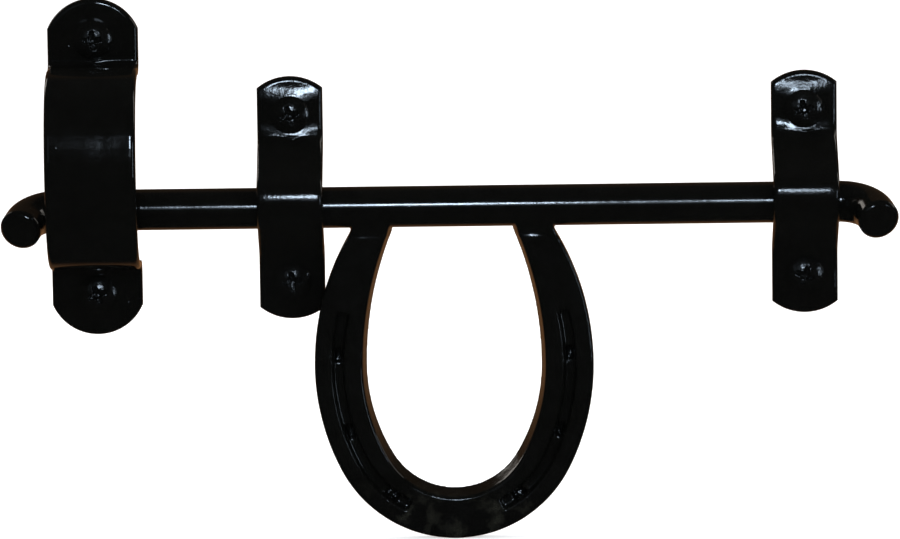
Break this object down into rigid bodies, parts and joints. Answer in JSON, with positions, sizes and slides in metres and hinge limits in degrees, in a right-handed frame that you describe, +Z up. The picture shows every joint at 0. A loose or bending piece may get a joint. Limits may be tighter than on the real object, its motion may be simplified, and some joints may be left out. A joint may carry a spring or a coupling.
{
  "type": "horseshoe slide bolt door latch",
  "caption": "Black enamelled slide bolt: a round bar with bent ends slides in two straps and through a tall keeper, and a horseshoe welded under it is the handle.",
  "frame": {"origin": "on the door's face, midway between the four screws of the two straps", "axes": "+X along the bar, away from the keeper; +Z up; +Y into the door, so the fronts face -Y"},
  "size_m": [0.3475, 0.058, 0.2124],
  "materials": {
    "black_enamel": "gloss",
    "screw_black": "gloss"
  },
  "bodies": {
    "fixings": {"left_strap": "black_enamel", "right_strap": "black_enamel", "keeper": "black_enamel", "left_strap_top_screw": "screw_black", "left_strap_bottom_screw": "screw_black", "right_strap_top_screw": "screw_black", "right_strap_bottom_screw": "screw_black", "keeper_top_screw": "screw_black", "keeper_bottom_screw": "screw_black"},
    "bolt_shank": {"bolt_shank": "black_enamel"},
    "bolt_handle": {"horseshoe": "black_enamel", "left_heel_weld": "black_enamel", "right_heel_weld": "black_enamel", "left_bent_end": "black_enamel", "right_bent_end": "black_enamel"}
  },
  "joints": [
    {"name": "bolt_slide", "type": "slide", "parent": "fixings", "child": "bolt_shank", "axis": [1, 0, 0], "range_m": [-0.002, 0.078]},
    {"name": "horseshoe_lift", "type": "hinge", "parent": "bolt_shank", "child": "bolt_handle", "pos_m": [0, -0.0086, -0.00321], "axis": [-1, 0, 0], "range_deg": [0, 110]}
  ]
}
